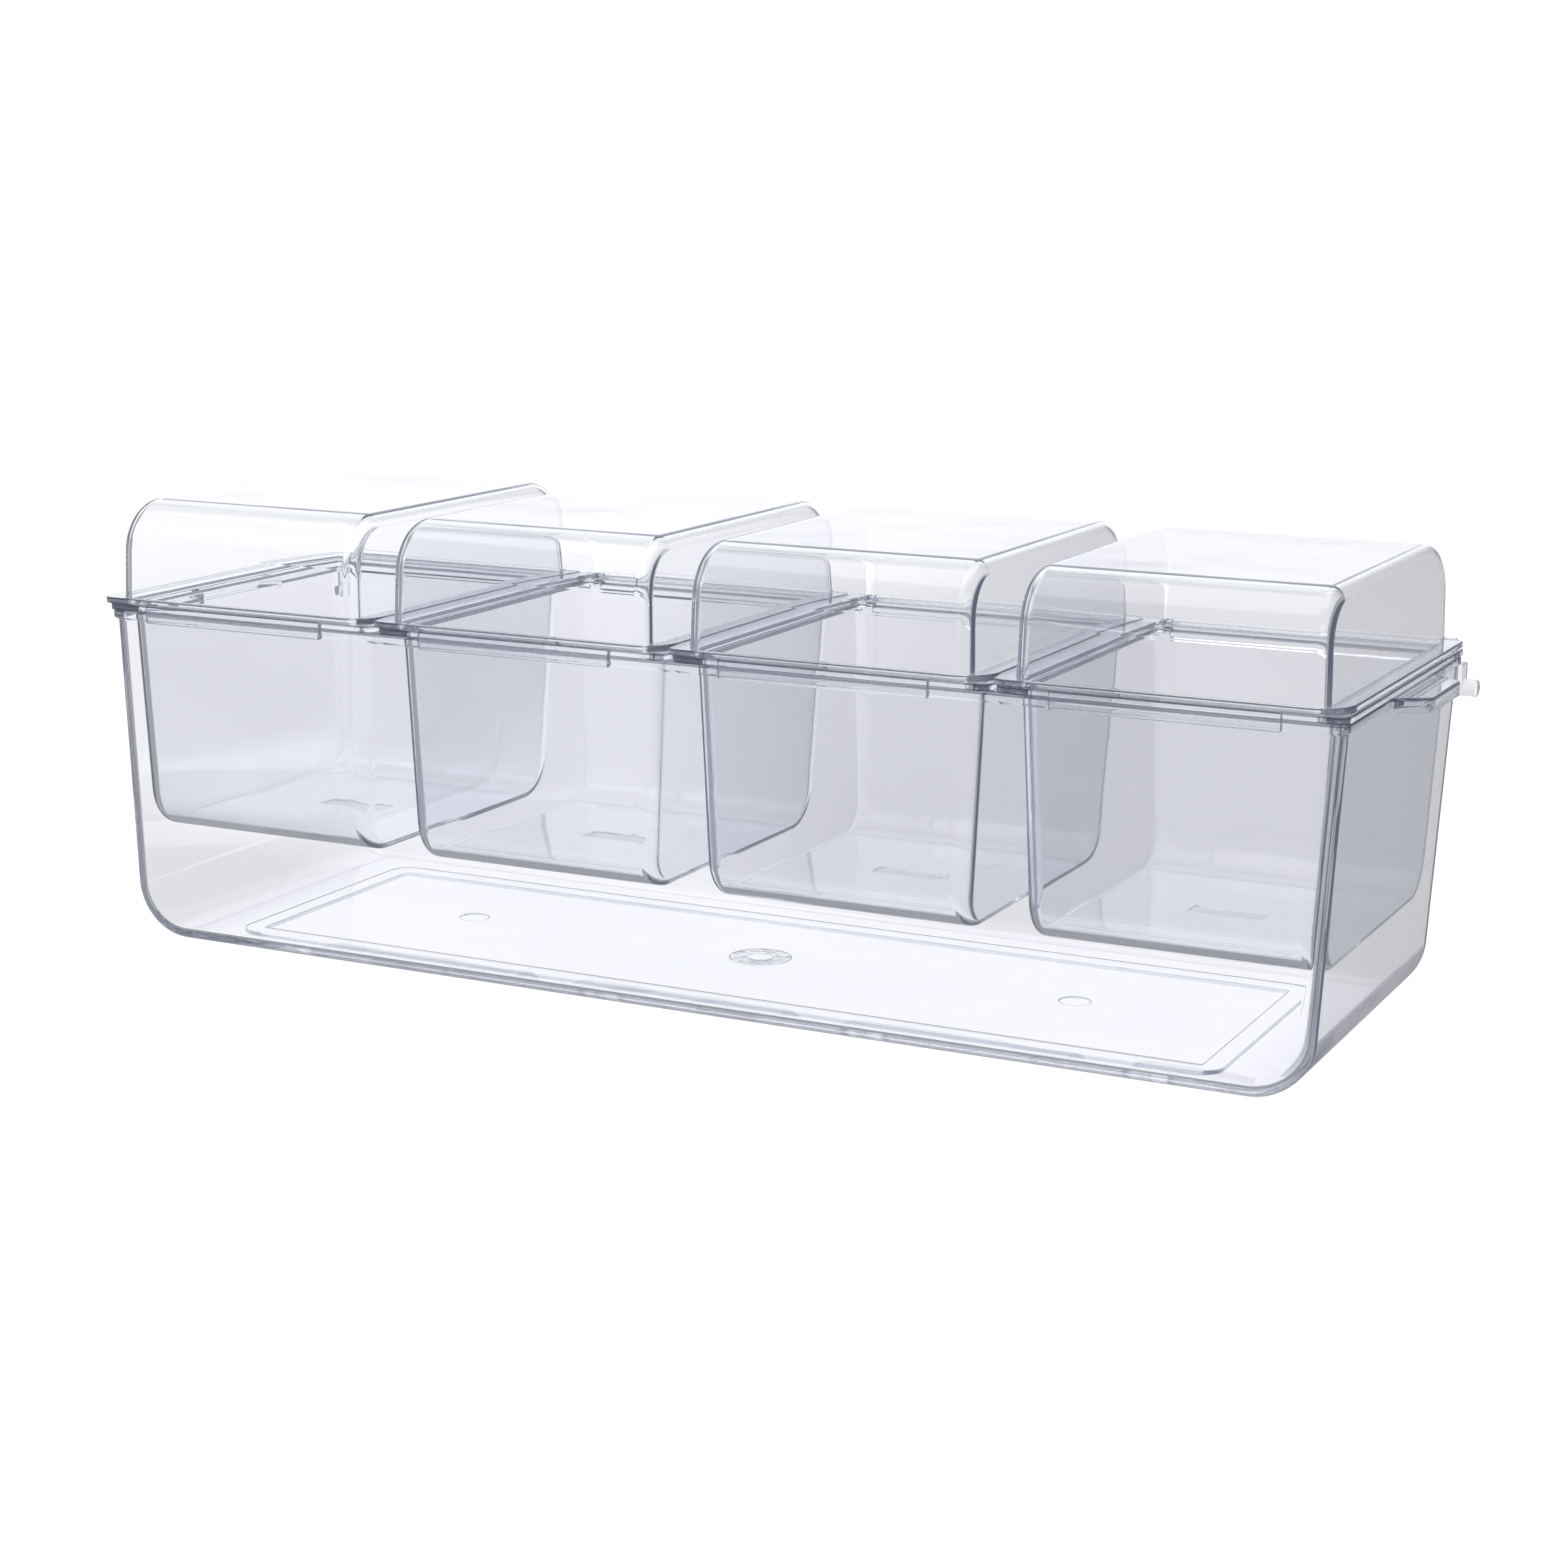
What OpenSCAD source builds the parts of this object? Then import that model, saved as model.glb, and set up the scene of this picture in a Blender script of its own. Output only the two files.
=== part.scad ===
// Serving caddy: one long clear tray, four lift-out cups hung on its rim,
// and a domed flip lid hinged on the back of each cup. Units are mm, +Z is up.

/* [Row] */
// distance from one cup to the next
pitch = 80.6; // [72:0.1:90]
// gap between neighbouring flanges
flange_gap = 0.8; // [0.6:0.1:3]
// depth of a lid flange, front edge to hinge line
flange_dep = 106.5; // [90:0.1:120]

/* [Tray] */
// height of the tray rim above the table
tray_h = 85.7; // [70:0.1:95]
// how far the end flanges stand out past the end walls
tray_end_in = 0.9; // [0.8:0.1:3]
// distance from the front of the flanges to the front wall
tray_front_in = 3; // [2:0.1:6]
// distance from the hinge line to the back wall
tray_back_in = 3.1; // [2.8:0.1:6]
// how far each end wall leans in from rim to floor
tray_end_lean = 4.4; // [1:0.1:8]
// how far the front and back walls lean in from rim to floor
tray_side_lean = 0.2; // [0:0.1:2]
// wall thickness of the tray
tray_wall = 2; // [1.6:0.1:3]
// thickness of the tray floor
tray_floor = 2.2; // [1.6:0.1:3]
// radius where the end walls turn into the floor
tray_end_r = 14; // [6:0.5:18]
// rounding of the other outer edges
tray_edge_r = 3; // [2.4:0.1:4]
// how far the rim stands out from the wall
rim_out = 0.6; // [0.3:0.1:2]
// thickness of the rim
rim_t = 1.8; // [1.2:0.1:3]
// height of the slope under the rim
rim_slope = 1.6; // [0.8:0.1:3]
// distance from the ends of the floor to the foot ring
foot_end_in = 23.5; // [18:0.5:40]
// distance from the long sides of the floor to the foot ring
foot_side_in = 11; // [6:0.5:20]
// width of the foot ring
foot_w = 5; // [1.5:0.1:6]
// height of the foot ring
foot_h = 1.2; // [0.6:0.1:2]
// rounding of the foot ring corners
foot_r = 6; // [5.5:0.5:12]

/* [Moulding marks] */
// diameter of the dished gate mark under the tray
gate_d = 16; // [10:0.5:20]
// diameter of the nub in the gate mark
nub_d = 6; // [3:0.5:8]
// diameter of the round marks beside it
mark_d = 8; // [5:0.5:10]
// distance of a round mark from the gate mark
mark_x = 84; // [60:1:120]
// depth of the marks
mark_deep = 0.5; // [0.2:0.1:1]
// length of the blank panel under a cup floor
panel_len = 18; // [10:0.5:24]
// width of the blank panel under a cup floor
panel_w = 8; // [5:0.5:12]
// corner rounding of the blank panel
panel_r = 1; // [0.5:0.1:3]

/* [End grips] */
// how far a grip stands out from the end wall
grip_out = 8.5; // [6:0.1:14]
// length of a grip along the wall
grip_root = 37; // [28:0.5:50]
// length of a grip along its free edge
grip_tip = 25; // [16:0.5:40]
// thickness of a grip
grip_t = 2.4; // [1.6:0.1:4]
// depth of the lip under the edge of a grip
grip_lip = 0.9; // [0.5:0.1:2]
// distance of a grip behind the flange middle
grip_back = 2; // [0:0.5:5]

/* [Corner lugs] */
// height of the post under the rim at each back corner
lug_post_h = 6.4; // [5:0.1:14]
// how far the post stands behind the back wall
lug_post_w = 4.2; // [2:0.1:5]
// how far the post stands out past the end wall
lug_post_out = 0.8; // [0.5:0.1:3]
// diameter of the peg on the post
lug_peg_d = 4.2; // [3:0.1:6]
// how far the peg stands out from the post
lug_peg_out = 3.4; // [2:0.1:6]

/* [Cups] */
// how far the flange stands out past each side of a cup
cup_side_in = 4; // [3.6:0.1:8]
// play between a cup and the front and back of the tray
cup_play = 0.7; // [0.4:0.1:2]
// how far each side of a cup leans in from rim to floor
cup_side_lean = 2.9; // [2.5:0.1:6]
// how far the front and back of a cup lean in
cup_end_lean = 1.5; // [0.5:0.1:4]
// distance from the flange top to the underside of the cup
cup_h = 59.5; // [40:0.1:65]
// wall thickness of a cup
cup_wall = 1.6; // [1.4:0.1:2.6]
// radius of the long curve at the front and back of the floor
cup_r = 13; // [8:0.5:18]
// rounding of the other cup edges
cup_edge_r = 3; // [2.6:0.1:5]
// thickness of the cup flange
cup_flange_t = 1.8; // [1.4:0.1:2.6]

/* [Lids] */
// how far the flange stands out past each side of a dome
lid_side_in = 4.5; // [3:0.1:8]
// distance from the front of the flange to the dome
lid_front_in = 1.7; // [1:0.1:4]
// distance from the hinge line to the back of the dome
lid_back_in = 2.4; // [2.3:0.1:5]
// how far each side of a dome leans in
lid_side_lean = 0.6; // [0:0.1:3]
// how far the front and back of a dome lean in
lid_end_lean = 0.5; // [0:0.1:3]
// height of a dome above its flange
lid_h = 24; // [15:0.1:35]
// wall thickness of a lid
lid_wall = 1.5; // [1.3:0.1:2.6]
// radius of the long curve at the front and back of the top
lid_r = 12.5; // [8:0.5:18]
// rounding of the other dome edges
lid_edge_r = 3.4; // [2.4:0.1:5]
// thickness of the lid flange
lid_flange_t = 1.8; // [1.4:0.1:2.6]
// rounding of the right front corner of the lid flange
lid_corner_r = 8.5; // [3:0.5:12]
// rounding of all other flange corners
corner_r = 3; // [2:0.5:6]

/* [Lift tab] */
// length of the lift tab
tab_len = 52; // [35:0.5:65]
// how far the lift tab hangs below the top of the flange
tab_drop = 5.9; // [4.6:0.1:8]
// thickness of the lift tab
tab_t = 1.5; // [1.2:0.1:2.5]
// outer radius of the bend from the flange into the tab
tab_bend_r = 2.9; // [2.5:0.1:3.2]
// radius of the bead along the lower edge of the tab
bead_r = 1.1; // [0.9:0.05:1.5]
// how far the tab stands out in front of the flange
tab_out = 0.6; // [0.3:0.05:1]
// how far the bead stands out in front of the tab
bead_out = 0.1; // [0.05:0.05:0.3]

/* [Hinge] */
// diameter of the hinge barrel
barrel_d = 3.8; // [3:0.1:5]
// diameter of a hinge pin
pin_d = 2.6; // [2:0.1:3]
// play between a pin and its hole, on the radius
pin_play = 0.09; // [0.05:0.01:0.1]
// radius of an ear
ear_r = 2.4; // [2:0.1:3]
// thickness of an ear
ear_t = 3.4; // [2:0.1:5]
// distance of an ear inside the side of its cup
ear_in = 2.1; // [1.5:0.1:5]
// distance of the hinge line below the top of the lid flange
axis_drop = 2.7; // [2:0.1:4]
// clearance round the hinge
hinge_gap = 0.4; // [0.3:0.05:0.8]

/* [Hidden] */
flange_w = pitch - flange_gap;
row_len = 3 * pitch + flange_w;
rim_z = tray_h;
cup_flange_top = rim_z + cup_flange_t;
flange_top = cup_flange_top + lid_flange_t;
axis_y = (flange_dep + tab_out + bead_out - ear_r) / 2;
axis_z = flange_top - axis_drop;
front_y = axis_y - flange_dep;
tab_y = front_y - tab_out;
tray_front = front_y + tray_front_in;
tray_back = axis_y - tray_back_in;
tray_mid = (tray_front + tray_back) / 2;
tray_dep = tray_back - tray_front;
tray_len = row_len - 2 * tray_end_in;
tray_floor_dep = tray_dep - 2 * tray_side_lean;
tray_floor_len = tray_len - 2 * tray_end_lean;
end_x = tray_len / 2;
cup_w = flange_w - 2 * cup_side_in;
cup_dep = tray_dep - 2 * (tray_wall + cup_play);
cup_z = cup_flange_top - cup_h;
cup_flange_front = front_y + tab_t + hinge_gap;
cup_flange_back = axis_y - barrel_d / 2 - hinge_gap;
lid_w = flange_w - 2 * lid_side_in;
lid_front = front_y + lid_front_in;
lid_back = axis_y - lid_back_in;
lid_mid = (lid_front + lid_back) / 2;
lid_dep = lid_back - lid_front;
top_z = flange_top + lid_h;
ear_near = cup_w / 2 - ear_in;
ear_mid = ear_near + ear_t / 2;
ear_far = ear_near + ear_t;
barrel_half = ear_near - hinge_gap;
clear_plastic = [0.88, 0.88, 0.93, 0.35];
steps = 3;
bend_steps = 6;
over = 1;
seam = 0.01;

function cup_x(i) = (i - 1.5) * pitch;

// flat outline with corners of radius r, the right front one of radius wide
module outline(w, d, r, wide) {
  radii = [[r, r], [wide, r]];
  difference() {
    square([w, d], center = true);
    for (i = [0, 1], j = [0, 1])
      translate([(2 * i - 1) * w / 2, (2 * j - 1) * d / 2]) square(2 * radii[i][j], center = true);
  }
  for (i = [0, 1], j = [0, 1])
    translate([(2 * i - 1) * (w / 2 - radii[i][j]), (2 * j - 1) * (d / 2 - radii[i][j])])
      circle(r = radii[i][j], $fn = 48);
}

module slab(w, d, r, t) {
  linear_extrude(t) outline(w, d, r, r);
}

// disc lying along X, both rims rounded by edge
module soft_disc(r, len, edge) {
  rotate([0, 90, 0])
    for (i = [0:steps])
      cylinder(
        r = r - edge * (1 - cos(90 * i / steps)),
        h = len - 2 * edge * (1 - sin(90 * i / steps)),
        center = true, $fn = 48
      );
}

// tapered tub: open end at mouth_z, the long curves of radius r at end_z
module tub(mouth_w, mouth_d, mouth_z, end_w, end_d, end_z, r, edge) {
  way = end_z < mouth_z ? 1 : -1;
  hull() {
    translate([0, 0, mouth_z - (way > 0 ? seam : 0)])
      for (sx = [-1, 1], sy = [-1, 1])
        translate([sx * (mouth_w / 2 - edge), sy * (mouth_d / 2 - edge), 0])
          cylinder(r = edge, h = seam, $fn = 4 * steps);
    for (sy = [-1, 1])
      translate([0, sy * (end_d / 2 - r), end_z + way * r]) soft_disc(r, end_w, edge);
  }
}

module tray_shell() {
  rotate([0, 0, 90]) difference() {
    tub(tray_dep, tray_len, rim_z, tray_floor_dep, tray_floor_len, foot_h, tray_end_r, tray_edge_r);
    tub(tray_dep - 2 * tray_wall, tray_len - 2 * tray_wall, rim_z + over,
      tray_floor_dep - 2 * tray_wall, tray_floor_len - 2 * tray_wall, foot_h + tray_floor,
      tray_end_r - tray_wall, tray_edge_r - tray_wall);
  }
}

// rim with a slope under it, notched where the hinge ears hang over the back
module tray_rim() {
  rim_len = tray_len + 2 * rim_out;
  rim_dep = tray_dep + 2 * rim_out;
  difference() {
    union() {
      translate([0, 0, rim_z - rim_t]) slab(rim_len, rim_dep, corner_r, rim_t);
      hull() {
        translate([0, 0, rim_z - rim_t]) slab(rim_len, rim_dep, corner_r, seam);
        translate([0, 0, rim_z - rim_t - rim_slope])
          slab(tray_len - tray_wall, tray_dep - tray_wall, tray_edge_r, seam);
      }
    }
    translate([0, 0, rim_z - rim_t - rim_slope - over])
      slab(tray_len - 2 * tray_wall, tray_dep - 2 * tray_wall, tray_wall, rim_t + rim_slope + 2 * over);
    for (i = [0:3], s = [-1, 1])
      translate([cup_x(i) + s * ear_mid, rim_dep / 2, rim_z - (rim_t + rim_slope) / 2])
        cube([ear_t + 2 * hinge_gap, 2 * rim_out, rim_t + rim_slope + over], center = true);
  }
}

module tray_foot() {
  foot_len = tray_floor_len - 2 * foot_end_in;
  foot_dep = tray_floor_dep - 2 * foot_side_in;
  difference() {
    slab(foot_len, foot_dep, foot_r, foot_h + seam);
    translate([0, 0, -over])
      slab(foot_len - 2 * foot_w, foot_dep - 2 * foot_w, foot_r - foot_w, foot_h + 2 * over);
  }
}

module tray_marks() {
  difference() {
    cylinder(d = gate_d, h = mark_deep, $fn = 64);
    cylinder(d = nub_d, h = mark_deep, $fn = 48);
  }
  for (s = [-1, 1]) translate([s * mark_x, 0, 0]) cylinder(d = mark_d, h = mark_deep, $fn = 48);
}

module grip_outline(inset) {
  polygon([
    [0, -grip_root / 2 + inset],
    [grip_out - inset, -grip_tip / 2 + inset],
    [grip_out - inset, grip_tip / 2 - inset],
    [0, grip_root / 2 - inset]
  ]);
}

module grip() {
  translate([end_x, grip_back, rim_z - grip_t]) {
    linear_extrude(grip_t) grip_outline(0);
    translate([-tray_wall / 2, -grip_root / 2, 0]) cube([tray_wall / 2 + seam, grip_root, grip_t]);
  }
  translate([end_x, grip_back, rim_z - grip_t - grip_lip])
    linear_extrude(grip_lip + seam) difference() {
      grip_outline(0);
      grip_outline(tray_wall);
    }
}

module corner_lug() {
  post_top = rim_z - rim_t;
  post_x = end_x - tray_wall;
  peg_z = post_top - lug_post_h;
  post_len = lug_post_out + tray_wall;
  translate([post_x, tray_back - tray_wall, peg_z])
    cube([post_len, lug_post_w + tray_wall, lug_post_h - hinge_gap]);
  translate([post_x, tray_back + lug_post_w - lug_peg_d / 2, peg_z])
    rotate([0, 90, 0]) cylinder(d = lug_peg_d, h = post_len + lug_peg_out, $fn = 48);
}

module tray() {
  color(clear_plastic) difference() {
    union() {
      translate([0, tray_mid, 0]) {
        tray_shell();
        tray_rim();
        tray_foot();
      }
      for (s = [0, 1]) mirror([s, 0, 0]) {
        grip();
        corner_lug();
      }
    }
    translate([0, tray_mid, foot_h - seam]) tray_marks();
  }
}

module ear() {
  rotate([0, 90, 0]) cylinder(r = ear_r, h = ear_t, center = true, $fn = 48);
  translate([-ear_t / 2, cup_flange_back - axis_y - over, rim_z - axis_z])
    cube([ear_t, axis_y - cup_flange_back + over, cup_flange_t]);
}

module cup() {
  floor_w = cup_w - 2 * cup_side_lean;
  floor_dep = cup_dep - 2 * cup_end_lean;
  depth = cup_flange_back - cup_flange_front;
  middle = (cup_flange_back + cup_flange_front) / 2;
  color(clear_plastic) difference() {
    union() {
      translate([0, tray_mid, 0])
        tub(cup_w, cup_dep, rim_z + cup_flange_t / 2, floor_w, floor_dep, cup_z, cup_r, cup_edge_r);
      translate([0, middle, rim_z]) slab(flange_w, depth, corner_r, cup_flange_t);
      for (s = [-1, 1]) translate([s * ear_mid, axis_y, axis_z]) ear();
    }
    translate([0, tray_mid, 0])
      tub(cup_w - 2 * cup_wall, cup_dep - 2 * cup_wall, cup_flange_top + over,
        floor_w - 2 * cup_wall, floor_dep - 2 * cup_wall, cup_z + cup_wall,
        cup_r - cup_wall, cup_edge_r - cup_wall);
    translate([0, axis_y, axis_z]) rotate([0, 90, 0])
      cylinder(r = pin_d / 2 + pin_play, h = 2 * ear_far + over, center = true, $fn = 48);
    translate([0, tray_mid, cup_z - seam]) slab(panel_len, panel_w, panel_r, mark_deep);
  }
}

module lid_flange() {
  back = axis_y - ear_r - hinge_gap;
  translate([0, (back + front_y) / 2, cup_flange_top])
    linear_extrude(lid_flange_t) outline(flange_w, back - front_y, corner_r, lid_corner_r);
  translate([-barrel_half, back - corner_r, cup_flange_top])
    cube([2 * barrel_half, axis_y - back + corner_r, lid_flange_t]);
}

// side view of the tab: a bend out of the flange, a straight drop and a bead
module tab_profile() {
  bead_z = flange_top - tab_drop + bead_r;
  bend_y = tab_y + tab_bend_r;
  bend_z = flange_top - seam - tab_bend_r;
  turn = [for (i = [0:bend_steps]) 90 + 90 * i / bend_steps];
  polygon(concat(
    [for (a = turn) [bend_y + tab_bend_r * cos(a), bend_z + tab_bend_r * sin(a)]],
    [[tab_y, bead_z], [tab_y + tab_t, bead_z]],
    [for (i = [bend_steps:-1:0]) let (r = tab_bend_r - tab_t)
      [bend_y + r * cos(turn[i]), bend_z + r * sin(turn[i])]]
  ));
  translate([tab_y + bead_r - bead_out, bead_z]) circle(r = bead_r, $fn = 32);
}

module lid() {
  top_w = lid_w - 2 * lid_side_lean;
  top_dep = lid_dep - 2 * lid_end_lean;
  color(clear_plastic) {
    difference() {
      union() {
        translate([0, lid_mid, 0])
          tub(lid_w, lid_dep, flange_top - lid_flange_t / 2, top_w, top_dep, top_z, lid_r, lid_edge_r);
        lid_flange();
        translate([-tab_len / 2, 0, 0]) rotate([90, 0, 90]) linear_extrude(tab_len) tab_profile();
      }
      translate([0, lid_mid, 0])
        tub(lid_w - 2 * lid_wall, lid_dep - 2 * lid_wall, cup_flange_top - over,
          top_w - 2 * lid_wall, top_dep - 2 * lid_wall, top_z - lid_wall,
          lid_r - lid_wall, lid_edge_r - lid_wall);
    }
    translate([0, axis_y, axis_z]) rotate([0, 90, 0]) {
      cylinder(d = barrel_d, h = 2 * barrel_half, center = true, $fn = 48);
      cylinder(d = pin_d, h = 2 * ear_far, center = true, $fn = 48);
    }
  }
}

tray();
translate([cup_x(0), 0, 0]) cup();  // cup_1
translate([cup_x(1), 0, 0]) cup();  // cup_2
translate([cup_x(2), 0, 0]) cup();  // cup_3
translate([cup_x(3), 0, 0]) cup();  // cup_4
translate([cup_x(0), 0, 0]) lid();  // lid_1
translate([cup_x(1), 0, 0]) lid();  // lid_2
translate([cup_x(2), 0, 0]) lid();  // lid_3
translate([cup_x(3), 0, 0]) lid();  // lid_4
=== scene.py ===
import math

import bmesh
import bpy
from mathutils import Matrix, Vector


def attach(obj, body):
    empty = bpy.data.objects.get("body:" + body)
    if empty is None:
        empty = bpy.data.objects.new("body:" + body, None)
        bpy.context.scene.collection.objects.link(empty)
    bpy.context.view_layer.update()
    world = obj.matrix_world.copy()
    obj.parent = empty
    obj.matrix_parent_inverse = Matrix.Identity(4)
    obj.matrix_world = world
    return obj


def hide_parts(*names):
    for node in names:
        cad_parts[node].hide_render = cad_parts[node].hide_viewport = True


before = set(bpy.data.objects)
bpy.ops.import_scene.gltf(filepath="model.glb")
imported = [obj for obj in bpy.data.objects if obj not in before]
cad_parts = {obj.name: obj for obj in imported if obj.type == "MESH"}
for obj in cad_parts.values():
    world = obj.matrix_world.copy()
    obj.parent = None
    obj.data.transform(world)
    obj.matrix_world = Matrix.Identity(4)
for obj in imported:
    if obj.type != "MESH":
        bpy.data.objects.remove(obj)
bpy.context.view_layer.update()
print("caddy: frame loaded, pieces", len(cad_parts))

# the studio camera looks down the long side from front right
camera = {
    "place": (0.3236, -0.6588, 0.2056),
    "forward": (-0.4271, 0.8796, -0.2093),
    "down": (0.1000, -0.1841, -0.9778),
    "focalPixels": 3018.0,
    "framePixels": 1557.0,
    "sensor": 36.0,
    "nearest": 0.05,
    "farthest": 20.0,
}


def aimCamera(look):
    data = bpy.data.cameras.new("studioCamera")
    data.sensor_width = look["sensor"]
    data.lens = look["sensor"] * look["focalPixels"] / look["framePixels"]
    data.clip_start = look["nearest"]
    data.clip_end = look["farthest"]
    cameraObject = bpy.data.objects.new("studioCamera", data)
    bpy.context.collection.objects.link(cameraObject)
    back = -Vector(look["forward"]).normalized()
    up = -Vector(look["down"])
    up = (up - back * up.dot(back)).normalized()
    side = up.cross(back)
    turn = Matrix((side, up, back)).transposed()
    cameraObject.rotation_mode = "QUATERNION"
    cameraObject.rotation_quaternion = turn.to_quaternion()
    cameraObject.location = look["place"]
    bpy.context.scene.camera = cameraObject


aimCamera(camera)

# the studio: white floor and backdrop, grey room beside and in front of it, soft lamps
studio = {
    "floorSize": 6.0,
    "floorDrop": 0.0005,
    "floorColour": 0.9,
    "floorSeen": 0.3,
    "floorGlow": 0.89,
    "surround": 1.0,
    "skyOnObject": 0.42,
    "skyColour": (0.95, 0.96, 1.0, 1),
    "tableEdge": 0.045,
    "tableLevel": 1.08,
    "tableHalf": (0.125, 0.036, 0.0),
    "tableNear": 0.95,
    "tableFar": 1.12,
    "tableReach": (0.3, 0.85),
    "brightWay": (-0.75, 0.66, 0.0),
    "brightFrom": 0.84,
    "brightTo": 0.985,
    "farLow": 0.8,
    "farHigh": 1.06,
    "backdropWay": (-0.437, 0.9, 0.0),
    "backdropFrom": 0.8,
    "backdropTo": 0.97,
    "roomGrey": 0.36,
    "glossWhite": 1.2,
    "deepGrey": 0.5,
    "coolGloss": (0.95, 0.96, 1.0, 1),
    "coolDeep": (0.84, 0.88, 1.0, 1),
    "ceilingGrey": 0.7,
    "ceilingFrom": 0.35,
    "ceilingTo": 0.85,
    "lampAim": (0.0, 0.0, 0.05),
    "topLamp": {"place": (-0.1, 0.15, 1.5), "size": (1.8, 1.2), "watts": 8},
    "leftLamp": {"place": (-1.5, -0.6, 0.9), "size": (1.0, 1.0), "watts": 4},
    "rightLamp": {"place": (1.3, -1.2, 1.1), "size": (0.8, 0.8), "watts": 3},
}


def makeNode(tree, kind, place=(0, 0), **values):
    node = tree.nodes.new(kind)
    node.location = place
    for name, value in values.items():
        setattr(node, name, value)
    return node


def mathNode(tree, place, operation, first, second):
    # a Math node fed by sockets or plain numbers
    node = makeNode(tree, "ShaderNodeMath", place, operation=operation)
    for socket, value in zip(node.inputs, (first, second)):
        if isinstance(value, (int, float)):
            socket.default_value = value
        else:
            tree.links.new(value, socket)
    return node.outputs[0]


def rayMasks(tree, place):
    # clear: a ray from the camera, off gloss or through plastic, and not off a dull surface;
    # direct: from the camera; reflected: off gloss once or more; trapped: twice or more
    path = makeNode(tree, "ShaderNodeLightPath", place)
    x, y = place
    glossy = mathNode(tree, (x + 200, y), "MAXIMUM",
                      path.outputs["Is Camera Ray"], path.outputs["Is Glossy Ray"])
    clear = mathNode(tree, (x + 400, y), "MAXIMUM", glossy, path.outputs["Is Transmission Ray"])
    reflected = mathNode(tree, (x + 200, y - 200), "MINIMUM", path.outputs["Glossy Depth"], 1.0)
    later = mathNode(tree, (x + 200, y - 400), "SUBTRACT", path.outputs["Glossy Depth"], 1.0)
    trapped = makeNode(tree, "ShaderNodeClamp", (x + 400, y - 400))
    tree.links.new(later, trapped.inputs[0])
    return {"clear": clear, "reflected": reflected, "trapped": trapped.outputs[0],
            "direct": path.outputs["Is Camera Ray"]}


def levelByWay(tree, place, wayOut, way, edges, levels):
    # a level that rises smoothly towards one compass direction
    x, y = place
    flat = makeNode(tree, "ShaderNodeVectorMath", (x, y), operation="MULTIPLY")
    flat.inputs[1].default_value = (1, 1, 0)
    unit = makeNode(tree, "ShaderNodeVectorMath", (x + 180, y), operation="NORMALIZE")
    facing = makeNode(tree, "ShaderNodeVectorMath", (x + 360, y), operation="DOT_PRODUCT")
    facing.inputs[1].default_value = way
    spread = makeNode(tree, "ShaderNodeMapRange", (x + 540, y), interpolation_type="SMOOTHSTEP")
    for name, value in zip(("From Min", "From Max", "To Min", "To Max"), (*edges, *levels)):
        spread.inputs[name].default_value = value
    tree.links.new(wayOut, flat.inputs[0])
    tree.links.new(flat.outputs[0], unit.inputs[0])
    tree.links.new(unit.outputs[0], facing.inputs[0])
    tree.links.new(facing.outputs["Value"], spread.inputs["Value"])
    return spread.outputs[0]


def roomLevel(tree, place, wayOut, look):
    # gloss sees the white backdrop, and a grey room beside it and in front of it
    return levelByWay(tree, place, wayOut, look["backdropWay"], (look["backdropFrom"], look["backdropTo"]),
                      (look["roomGrey"], look["glossWhite"]))


def farLevel(tree, place, wayOut, look):
    # clear walls show a backdrop that is brightest at the back left
    return levelByWay(tree, place, wayOut, look["brightWay"], (look["brightFrom"], look["brightTo"]),
                      (look["farLow"], look["farHigh"]))


def mixLevels(tree, place, fac, first, second):
    mix = makeNode(tree, "ShaderNodeMix", place, data_type="FLOAT")
    for socket, value in ((mix.inputs[0], fac), (mix.inputs[2], first), (mix.inputs[3], second)):
        if isinstance(value, (int, float)):
            socket.default_value = value
        else:
            tree.links.new(value, socket)
    return mix.outputs[0]


def coolReflections(tree, place, rays, look):
    # what gloss picks up is a little bluer than the white table, and bluer still inside the walls
    x, y = place
    gloss = makeNode(tree, "ShaderNodeMix", (x - 200, y), data_type="RGBA")
    gloss.inputs[6].default_value = (1, 1, 1, 1)
    gloss.inputs[7].default_value = look["coolGloss"]
    deep = makeNode(tree, "ShaderNodeMix", place, data_type="RGBA")
    deep.inputs[7].default_value = look["coolDeep"]
    tree.links.new(rays["reflected"], gloss.inputs[0])
    tree.links.new(rays["trapped"], deep.inputs[0])
    tree.links.new(gloss.outputs[2], deep.inputs[6])
    return deep.outputs[2]


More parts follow.
